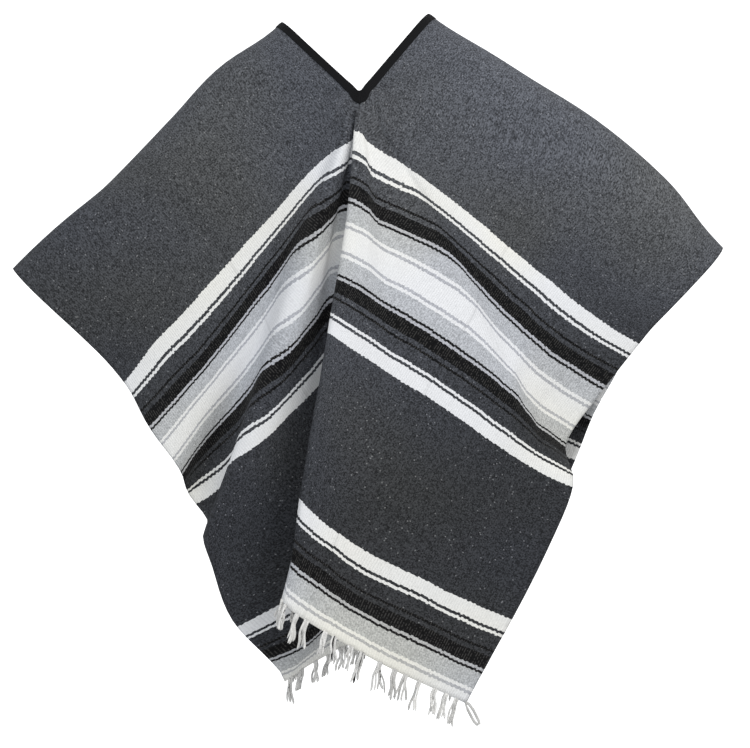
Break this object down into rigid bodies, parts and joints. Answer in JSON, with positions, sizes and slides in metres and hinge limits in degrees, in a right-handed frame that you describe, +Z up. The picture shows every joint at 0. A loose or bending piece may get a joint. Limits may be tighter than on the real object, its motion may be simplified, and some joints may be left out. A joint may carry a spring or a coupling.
{
  "type": "poncho",
  "caption": "Worn woven blanket poncho with charcoal cloth, bands of white, grey and black stripes, a taped V neck slit and a fringed hem in front and behind",
  "frame": {"origin": "In the middle of the neck opening, at the height of the shoulder folds beside it, where the wearer's shoulders hold the poncho up", "axes": "+Z up, the front faces -Y, +X is to the right in the front view"},
  "size_m": [1.1719, 0.6109, 1.1637],
  "materials": {
    "charcoal_blanket": "matt",
    "black_tape": "matt",
    "undyed_yarn": "matt"
  },
  "bodies": {
    "root": {"blanket_front": "charcoal_blanket", "blanket_back": "charcoal_blanket", "neck_binding": "black_tape", "fringe_front": "undyed_yarn", "fringe_back": "undyed_yarn"}
  },
  "joints": []
}
